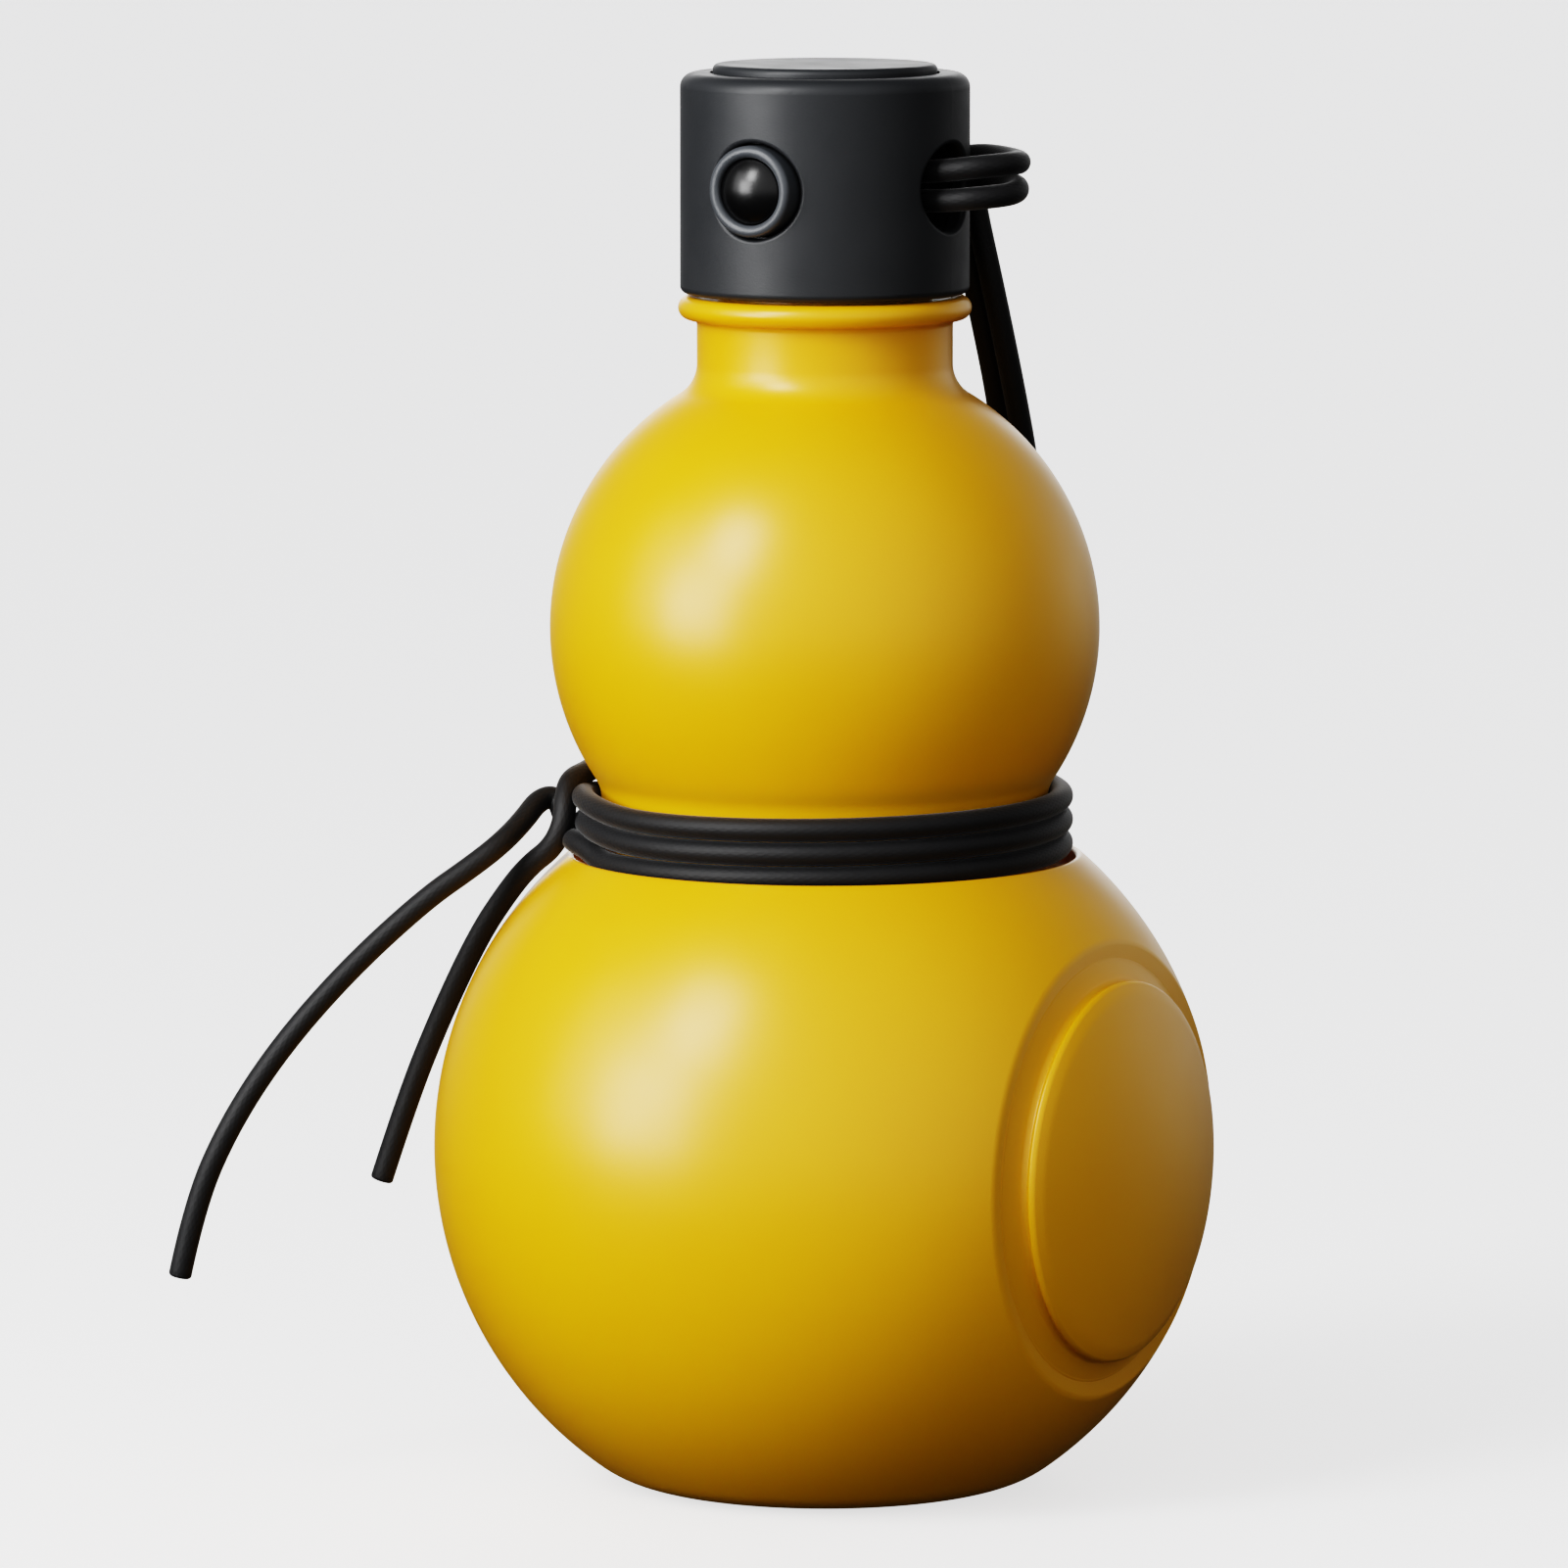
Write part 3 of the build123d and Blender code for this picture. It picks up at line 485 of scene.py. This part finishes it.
def neck_outline():
    """The bead under the cap, the shoulder, the screw finish and the mouth."""
    bead_middle = BEAD_R - BEAD_TUBE
    foot_r = NECK_R + NECK_BEAD_BLEND
    foot_z = BEAD_Z - math.sqrt((BEAD_TUBE + NECK_BEAD_BLEND) ** 2 - (bead_middle - foot_r) ** 2)
    foot_angle = angle_to(bead_middle - foot_r, BEAD_Z - foot_z)
    top_angle = 180 - math.degrees(math.acos((bead_middle - NECK_R) / BEAD_TUBE))
    line = arc((foot_r, foot_z), NECK_BEAD_BLEND, 180, foot_angle, BEAD_FOOT_STEPS)
    line += arc((bead_middle, BEAD_Z), BEAD_TUBE, foot_angle - 180, top_angle, BEAD_STEPS)[1:]
    finish = [
        (NECK_R, SHOULDER_Z - CORNER_ROUND, 0), (NECK_R - CORNER_ROUND, SHOULDER_Z, 0),
        (FINISH_R, SHOULDER_Z, CORNER_ROUND), (FINISH_R, LIP_Z, LIP_ROUND),
        (MOUTH_R, LIP_Z, CORNER_ROUND), (MOUTH_R, SHOULDER_Z, 2 * CORNER_ROUND),
        (NECK_BORE_R, SHOULDER_Z - MOUTH_TAPER, 0),
    ]
    return line + rounded_profile(finish, MOUTH_STEPS)


def outside_profile():
    """The bottle's outside, from foot to mouth, as (r, z) points, and the rows of the panel's patch."""
    line, foot_angle = foot_outline()
    line += arc((0, LOWER_Z), LOWER_R, foot_angle, -PATCH_HALF_DEG, LOWER_STEPS)[1:]
    first = len(line) - 1
    line += arc((0, LOWER_Z), LOWER_R, -PATCH_HALF_DEG, PATCH_HALF_DEG, 2 * PATCH_HALF_DEG)[1:]
    last = len(line) - 1
    return line + groove_outline() + upper_outline() + neck_outline(), first, last


def inside_profile():
    """The bottle's hollow from under the mouth to the floor's middle, as (r, z) points."""
    upper, lower = UPPER_R - WALL, LOWER_R - WALL
    foot = NECK_FOOT + WALL
    neck_r = NECK_BORE_R + foot
    neck_z = UPPER_Z + math.sqrt((upper + foot) ** 2 - neck_r ** 2)
    neck_angle = angle_to(neck_r, neck_z - UPPER_Z)
    line = arc((neck_r, neck_z), foot, 180, neck_angle + 180, INNER_NECK_STEPS)
    bore = WAIST_R - WALL
    blend_r = bore + WAIST_BLEND
    blend_z = UPPER_Z - math.sqrt((upper + WAIST_BLEND) ** 2 - blend_r ** 2)
    blend_angle = angle_to(blend_r, blend_z - UPPER_Z)
    line += arc((0, UPPER_Z), upper, neck_angle, blend_angle, INNER_UPPER_STEPS)[1:-1]
    line += arc((blend_r, blend_z), WAIST_BLEND, blend_angle + 180, 180, INNER_WAIST_STEPS)
    step_z = GROOVE_FLOOR_Z - GROOVE_FLOOR_WALL
    step_middle = (bore + INNER_ROUND, step_z + INNER_ROUND)
    line += arc(step_middle, INNER_ROUND, 180, 270, INNER_GROOVE_STEPS)
    corner_z = step_z - INNER_ROUND
    corner_r = math.sqrt((lower - INNER_ROUND) ** 2 - (corner_z - LOWER_Z) ** 2)
    corner_angle = angle_to(corner_r, corner_z - LOWER_Z)
    line += arc((corner_r, corner_z), INNER_ROUND, 90, corner_angle, INNER_GROOVE_STEPS)
    foot = FOOT_ROUND - WALL
    floor = FOOT_RECESS + WALL
    foot_r = math.sqrt((lower - foot) ** 2 - (LOWER_Z - floor - foot) ** 2)
    foot_angle = angle_to(foot_r, floor + foot - LOWER_Z)
    line += arc((0, LOWER_Z), lower, corner_angle, foot_angle, INNER_LOWER_STEPS)[1:-1]
    line += arc((foot_r, floor + foot), foot, foot_angle, -90, INNER_FOOT_STEPS)
    return line


def panel_back(x, y, z):
    """The hollow's wall stays one wall behind the panel."""
    crown = PANEL_CROWN_X - WALL
    rise = crown - (MOAT_X - MOAT_WALL)
    off = math.hypot(y, z - LOWER_Z)
    return min(x, crown - rise * (off / PANEL_R) ** 2) if off < PATCH_R and x > 0 else x


def panel_profile():
    """The panel from outside its moat to its crown, as (distance from its axis, x) points."""
    def bulb(off):
        return math.sqrt(LOWER_R ** 2 - off ** 2)

    edge = [PATCH_R - k * PANEL_RING_STEP for k in range(PATCH_EDGE_RINGS)]
    rows = [(off, bulb(off), 0) for off in edge]
    rows += [(MOAT_R, bulb(MOAT_R), MOAT_EDGE_ROUND), (PANEL_R, MOAT_X, MOAT_FOOT_ROUND)]
    rows.append((PANEL_R, PANEL_RIM_X, PANEL_RIM_ROUND))
    for off in range(int(PANEL_R - PANEL_RIM_ROUND), 0, -PANEL_RING_STEP):
        rows.append((off, PANEL_CROWN_X - PANEL_DOME_R + math.sqrt(PANEL_DOME_R ** 2 - off ** 2), 0))
    return rounded_profile(rows, PANEL_ROUND_STEPS)


def add_patch(points, faces, loop):
    """Fill the opening inside a loop on the lower bulb with the round panel and its moat."""
    centre = Vector((0, 0, LOWER_Z))
    tilt = math.asin(PATCH_R / LOWER_R)
    starts = [(Vector(points[v]) - centre) / LOWER_R for v in loop]
    around = [math.atan2(d.z, d.y) for d in starts]
    ends = []
    for a in around:
        ends.append(Vector((math.cos(tilt), math.sin(tilt) * math.cos(a), math.sin(tilt) * math.sin(a))))
    count = len(loop)
    rings = [loop]
    for k in range(1, PATCH_RINGS):
        rings.append(range(len(points), len(points) + count))
        for start, end in zip(starts, ends):
            points.append(tuple(centre + start.lerp(end, k / PATCH_RINGS).normalized() * LOWER_R))
    for off, x in panel_profile():
        rings.append(range(len(points), len(points) + count))
        points += [(x, off * math.cos(a), LOWER_Z + off * math.sin(a)) for a in around]
    for one, two in zip(rings, rings[1:]):
        for j in range(count):
            n = (j + 1) % count
            faces.append((one[j], one[n], two[n], two[j]))
    hub = len(points)
    points.append((PANEL_CROWN_X, 0, LOWER_Z))
    for j in range(count):
        faces.append((rings[-1][j], rings[-1][(j + 1) % count], hub))


def patch_loop(first, last, half):
    """The points round the patch's opening, between two rows and as far to both sides of the X axis."""
    rim = [(first, off) for off in range(-half, half)]
    rim += [(i, half) for i in range(first, last)]
    rim += [(last, off) for off in range(half, -half, -1)]
    rim += [(i, -half) for i in range(last, first, -1)]
    return [i * SEGMENTS + off % SEGMENTS for i, off in rim]


def bottle_points():
    """Every point and face of the bottle's skin, with the panel's patch let into the lower bulb."""
    outer, first, last = outside_profile()
    profile = outer + inside_profile()
    points = []
    for k, (r, z) in enumerate(profile):
        for j in range(SEGMENTS):
            a = 2 * math.pi * j / SEGMENTS
            x, y = r * math.cos(a), r * math.sin(a)
            points.append((panel_back(x, y, z) if k >= len(outer) else x, y, z))
    faces = []
    half = PATCH_HALF_DEG * SEGMENTS // 360
    for i in range(len(profile) - 1):
        low, high = i * SEGMENTS, (i + 1) * SEGMENTS
        for j in range(SEGMENTS):
            off = (j + SEGMENTS // 2) % SEGMENTS - SEGMENTS // 2
            if first <= i < last and -half <= off < half:
                continue
            n = (j + 1) % SEGMENTS
            faces.append((low + j, low + n, high + n, high + j))
    add_patch(points, faces, patch_loop(first, last, half))
    hub = len(points)
    points.append((0, 0, 0))
    points.append((0, 0, FOOT_RECESS + WALL))
    top = (len(profile) - 1) * SEGMENTS
    for j in range(SEGMENTS):
        n = (j + 1) % SEGMENTS
        faces.append((n, j, hub))
        faces.append((top + j, top + n, hub + 1))
    return points, faces


def thread_section(fade):
    """The thread's section as (r, height) points. It sinks into the neck as fade goes to zero."""
    root = FINISH_R - THREAD_ROOT
    crest = FINISH_R - THREAD_ROOT / 2 + (THREAD_DEPTH + THREAD_ROOT / 2) * fade
    foot, top = THREAD_BASE / 2, THREAD_CREST / 2
    return [
        (root, -foot), (crest - THREAD_SOFT, -top - THREAD_SOFT / 2), (crest, -top + THREAD_SOFT),
        (crest, top - THREAD_SOFT), (crest - THREAD_SOFT, top + THREAD_SOFT / 2), (root, foot),
    ]


def add_thread(points, faces):
    """The neck's thread, one ridge that fades in and out."""
    count = int(360 * THREAD_TURNS / THREAD_STEP)
    first = len(points)
    for k in range(count + 1):
        angle = math.radians(THREAD_STEP * k)
        fade = min(1.0, THREAD_STEP * k / THREAD_FADE, THREAD_STEP * (count - k) / THREAD_FADE)
        section = thread_section(math.sin(fade * math.pi / 2))
        z = THREAD_START_Z + THREAD_PITCH * THREAD_STEP * k / 360
        points += [(r * math.cos(angle), r * math.sin(angle), z + h) for r, h in section]
    size = len(section)
    for k in range(count):
        a, b = first + k * size, first + (k + 1) * size
        faces += [(a + j, b + j, b + j + 1, a + j + 1) for j in range(size - 1)]
        faces.append((a + size - 1, b + size - 1, b, a))
    faces.append(tuple(range(first, first + size)))
    faces.append(tuple(range(first + (count + 1) * size - 1, first + count * size - 1, -1)))


def drop_unused(points, faces):
    """The points that some face uses, and the faces numbered anew for them."""
    used = sorted({v for face in faces for v in face})
    place = {v: k for k, v in enumerate(used)}
    return [points[v] for v in used], [[place[v] for v in face] for face in faces]


def bottle_body(material):
    points, faces = bottle_points()
    add_thread(points, faces)
    points, faces = drop_unused(points, faces)
    piece = mesh_object("bottle_body", [in_metres(p) for p in points], faces, material)
    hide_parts("bottle_shell")
    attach(piece, "bottle")


def new_material(name, colour, roughness, **inputs):
    """A new material. The other inputs are called as on the shader, with _ for a space."""
    material = bpy.data.materials.new(name)
    material.use_nodes = True
    shader = material.node_tree.nodes["Principled BSDF"]
    shader.inputs["Base Color"].default_value = (*colour, 1)
    shader.inputs["Roughness"].default_value = roughness
    for key, value in inputs.items():
        shader.inputs[key.replace("_", " ")].default_value = value
    return material


def calculate(tree, kind, operation, *values):
    """A maths node. Each value is a number or a vector, or the output of another node."""
    node = tree.nodes.new(kind)
    node.operation = operation
    for place, value in zip(node.inputs, values):
        if isinstance(value, bpy.types.NodeSocket):
            tree.links.new(value, place)
        else:
            place.default_value = value
    return node


def maths(tree, operation, *values):
    return calculate(tree, "ShaderNodeMath", operation, *values).outputs["Value"]


def map_range(tree, value, limits):
    """Take a value from one range to another, with limits in the order of RANGE_INPUTS."""
    node = tree.nodes.new("ShaderNodeMapRange")
    for name, limit in zip(RANGE_INPUTS, limits):
        node.inputs[name].default_value = limit
    tree.links.new(value, node.inputs["Value"])
    return node


def noise(material, size, detail=NOISE_DETAIL):
    """Noise on the piece's own coordinates, whose spots are about this many millimetres across."""
    tree = material.node_tree
    place = tree.nodes.new("ShaderNodeTexCoord")
    spots = tree.nodes.new("ShaderNodeTexNoise")
    spots.inputs["Scale"].default_value = 1 / (size * MM)
    spots.inputs["Detail"].default_value = detail
    tree.links.new(place.outputs["Object"], spots.inputs["Vector"])
    return spots.outputs["Fac"]


def patches(material, size, low, high):
    """Noise whose middle values are taken to a range."""
    limits = (NOISE_MIDDLE - NOISE_SPREAD, NOISE_MIDDLE + NOISE_SPREAD, low, high)
    return map_range(material.node_tree, noise(material, size), limits).outputs["Result"]


def vary_roughness(material, size, low, high):
    shader = material.node_tree.nodes["Principled BSDF"]
    material.node_tree.links.new(patches(material, size, low, high), shader.inputs["Roughness"])


def vary_colour(material, size, first, second):
    shader = material.node_tree.nodes["Principled BSDF"]
    mix = material.node_tree.nodes.new("ShaderNodeMix")
    mix.data_type = "RGBA"
    mix.inputs["A"].default_value = (*first, 1)
    mix.inputs["B"].default_value = (*second, 1)
    material.node_tree.links.new(patches(material, size, 0, 1), mix.inputs["Factor"])
    material.node_tree.links.new(mix.outputs["Result"], shader.inputs["Base Color"])


def add_bump(material, height, depth):
    """Bump whose full height is this many millimetres."""
    bump = material.node_tree.nodes.new("ShaderNodeBump")
    bump.inputs["Strength"].default_value = 1.0
    bump.inputs["Distance"].default_value = depth * MM
    shader = material.node_tree.nodes["Principled BSDF"]
    material.node_tree.links.new(height, bump.inputs["Height"])
    material.node_tree.links.new(bump.outputs["Normal"], shader.inputs["Normal"])


def yellow_plastic():
    """The body's satin plastic, which light enters a little."""
    look = YELLOW_TEXTURE
    material = new_material(
        "yellow_satin_plastic", YELLOW, roughness=0.4, IOR=1.46, Coat_Weight=0.5, Coat_Roughness=0.3,
        Subsurface_Weight=0.12, Subsurface_Radius=(1.0, 0.45, 0.05), Subsurface_Scale=YELLOW_GLOW_DEPTH * MM,
    )
    vary_colour(material, look.tones, YELLOW, YELLOW_DEEP)
    vary_roughness(material, look.glosses, low=0.36, high=0.42)
    add_bump(material, noise(material, look.grain, FINE_NOISE_DETAIL), look.depth)
    return material


def charcoal_plastic():
    look = CHARCOAL_TEXTURE
    material = new_material("charcoal_satin_plastic", CHARCOAL, roughness=0.45, IOR=1.5)
    vary_colour(material, look.tones, CHARCOAL, CHARCOAL_LIGHT)
    vary_roughness(material, look.glosses, low=0.42, high=0.5)
    add_bump(material, noise(material, look.grain, FINE_NOISE_DETAIL), look.depth)
    return material


def plain_plastic(name, colour, second, roughness, look=PLAIN_TEXTURE):
    """A moulded plastic or rubber with a fine grain and a slightly uneven colour and gloss."""
    material = new_material(name, colour, roughness)
    vary_colour(material, look.tones, colour, second)
    vary_roughness(material, look.glosses, *(roughness * share for share in PLAIN_GLOSS_SHARES))
    add_bump(material, noise(material, look.grain), look.depth)
    return material


def button_gloss():
    look = BUTTON_TEXTURE
    material = new_material(
        "glossy_black_plastic", BUTTON_BLACK, roughness=0.3, IOR=1.5, Coat_Weight=0.2, Coat_Roughness=0.2,
    )
    vary_roughness(material, look.glosses, low=0.28, high=0.33)
    add_bump(material, noise(material, look.grain), look.depth)
    return material


def steel(name, colour, roughness):
    look = STEEL_TEXTURE
    material = new_material(name, colour, roughness, Metallic=1.0)
    vary_roughness(material, look.glosses, *(roughness * share for share in STEEL_GLOSS_SHARES))
    add_bump(material, noise(material, look.grain), look.depth)
    return material


def cord_cover():
    """Smooth black round cord whose fine slanting yarns hardly show."""
    material = new_material(
        "black_cord_cover", CORD_BLACK, roughness=0.6, Sheen_Weight=0.25, Sheen_Roughness=0.4,
    )
    tree = material.node_tree
    place = tree.nodes.new("ShaderNodeUVMap")
    place.uv_map = "cord"
    split = tree.nodes.new("ShaderNodeSeparateXYZ")
    tree.links.new(place.outputs["UV"], split.inputs["Vector"])
    waves = []
    for way in (1, -1):
        around = maths(tree, "MULTIPLY", split.outputs["X"], 2 * math.pi * CORD_YARNS)
        turn = way * 2 * math.pi / CORD_YARN_STEP
        slant = maths(tree, "MULTIPLY_ADD", split.outputs["Y"], turn, around)
        waves.append(maths(tree, "SINE", slant))
    add_bump(material, maths(tree, "MAXIMUM", *waves), CORD_YARN_DEPTH)
    vary_colour(material, CORD_TONES, CORD_BLACK, CORD_BLACK_LIGHT)
    return material


def dress(frame):
    """Give each CAD piece that stays its material."""
    charcoal = charcoal_plastic()
    foam = plain_plastic("adhesive_foam", FOAM_BLACK, FOAM_BLACK_LIGHT, roughness=0.8, look=FOAM_TEXTURE)
    liner = plain_plastic("liner_plastic", LINER_GREY, LINER_GREY_LIGHT, roughness=0.45)
    silicone = plain_plastic("pale_silicone", SEAL_WHITE, SEAL_WHITE_DEEP, roughness=0.6)
    lock = plain_plastic("black_acetal", LOCK_BLACK, LOCK_BLACK_LIGHT, roughness=0.42)
    collar = plain_plastic(
        "grey_satin_plastic", BEZEL_GREY, BEZEL_GREY_DEEP, roughness=0.36, look=BEZEL_TEXTURE,
    )
    looks = {
        "cap_shell": charcoal,
        "top_disc": charcoal,
        "disc_gasket": foam,
        "cap_screws": steel("zinc_plated_steel", ZINC, roughness=0.34),
        "cap_liner": liner,
        "sealing_gasket": silicone,
        "lock_housing": lock,
        "lock_plunger": lock,
        "spring_cup": lock,
        "button_bezel": collar,
        "button_dome": button_gloss(),
    }
    for name, material in looks.items():
        for part_slot in frame["nodes"][name].material_slots:
            part_slot.material = material


def spring_coil(frame, material):
    """The lock's spring, a copy of the part's coil with its own material, which rides the cap."""
    piece = bpy.data.objects.new("spring_coil", frame["nodes"]["plunger_spring"].data.copy())
    bpy.context.scene.collection.objects.link(piece)
    piece.data.materials.clear()
    piece.data.materials.append(material)
    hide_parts("plunger_spring")
    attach(piece, "cap")
    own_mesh(piece)


def camera_frame():
    """The camera's right, up and backward directions in the model's frame."""
    azimuth, elevation = math.radians(CAMERA_AZIMUTH), math.radians(CAMERA_ELEVATION)
    level = math.cos(elevation)
    back = Vector((math.sin(azimuth) * level, -math.cos(azimuth) * level, math.sin(elevation)))
    right = Vector((math.cos(azimuth), math.sin(azimuth), 0))
    return right, back.cross(right), back


def studio_way(toward):
    """A direction given as (right, up, toward the camera), in the model's frame."""
    right, up, back = camera_frame()
    return (right * toward[0] + up * toward[1] + back * toward[2]).normalized()


def add_camera():
    right, _, back = camera_frame()
    data = bpy.data.cameras.new("camera")
    data.lens = CAMERA_LENS
    data.clip_start = CAMERA_NEAREST * MM
    data.clip_end = CAMERA_FARTHEST * MM
    camera = bpy.data.objects.new("camera", data)
    bpy.context.scene.collection.objects.link(camera)
    aim = right * AIM_RIGHT + Vector((0, 0, AIM_HEIGHT))
    camera.location = (aim + back * CAMERA_DISTANCE) * MM
    camera.rotation_euler = back.to_track_quat("Z", "Y").to_euler()
    bpy.context.scene.camera = camera


def add_light(name, toward, size, power):
    """A soft box that shines at the bottle from a direction of the studio."""
    way = studio_way(toward)
    data = bpy.data.lights.new(name, "AREA")
    data.shape = "RECTANGLE"
    data.size, data.size_y = (side * MM for side in size)
    data.energy = power
    light = bpy.data.objects.new(name, data)
    bpy.context.scene.collection.objects.link(light)
    light.location = (Vector((0, 0, AIM_HEIGHT)) + way * LIGHT_DISTANCE) * MM
    light.rotation_euler = way.to_track_quat("Z", "Y").to_euler()
    light.visible_camera = False


def add_world():
    """A soft surround: each glow fades away from its own direction, and all fade below the horizon."""
    world = bpy.data.worlds.new("studio")
    bpy.context.scene.world = world
    world.use_nodes = True
    tree = world.node_tree
    place = tree.nodes.new("ShaderNodeTexCoord").outputs["Generated"]
    total = (0, 0, 0)
    for name, toward, narrowness, strength in GLOWS:
        facing = calculate(tree, "ShaderNodeVectorMath", "DOT_PRODUCT", place, studio_way(toward))
        lobe = maths(tree, "MAXIMUM", facing.outputs["Value"], 0)
        narrow = maths(tree, "POWER", lobe, narrowness)
        glow = calculate(tree, "ShaderNodeVectorMath", "MULTIPLY_ADD", narrow, (strength,) * 3, total)
        glow.name = name
        total = glow.outputs["Vector"]
    split = tree.nodes.new("ShaderNodeSeparateXYZ")
    tree.links.new(place, split.inputs["Vector"])
    shade = map_range(tree, split.outputs["Z"], HORIZON_SHADE)
    shade.interpolation_type = "SMOOTHSTEP"
    tree.links.new(shade.outputs["Result"], tree.nodes["Background"].inputs["Strength"])
    tree.links.new(total, tree.nodes["Background"].inputs["Color"])


def add_floor():
    """A pale floor, left out of diffuse and glossy rays so that it doesn't light the bottle from below."""
    material = new_material(
        "pale_floor", FLOOR_COLOUR, FLOOR_ROUGHNESS, Emission_Color=FLOOR_GLOW, Emission_Strength=1.0,
    )
    reach = FLOOR_REACH * MM
    points = [(-reach, -reach, 0), (reach, -reach, 0), (reach, reach, 0), (-reach, reach, 0)]
    ground = mesh_object("floor", points, [(0, 1, 2, 3)], material)
    ground.visible_diffuse = False
    ground.visible_glossy = False


def studio():
    for name, toward, size, power in LIGHTS:
        add_light(name, toward, size, power)
    add_world()
    add_floor()
    bpy.context.scene.view_settings.view_transform = "Filmic"
    bpy.context.scene.view_settings.look = "Very High Contrast"


def main():
    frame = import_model()
    dress(frame)
    bottle_body(yellow_plastic())
    cords(cord_cover())
    spring_coil(frame, steel("spring_steel", SPRING_STEEL, roughness=0.26))
    add_camera()
    studio()


main()
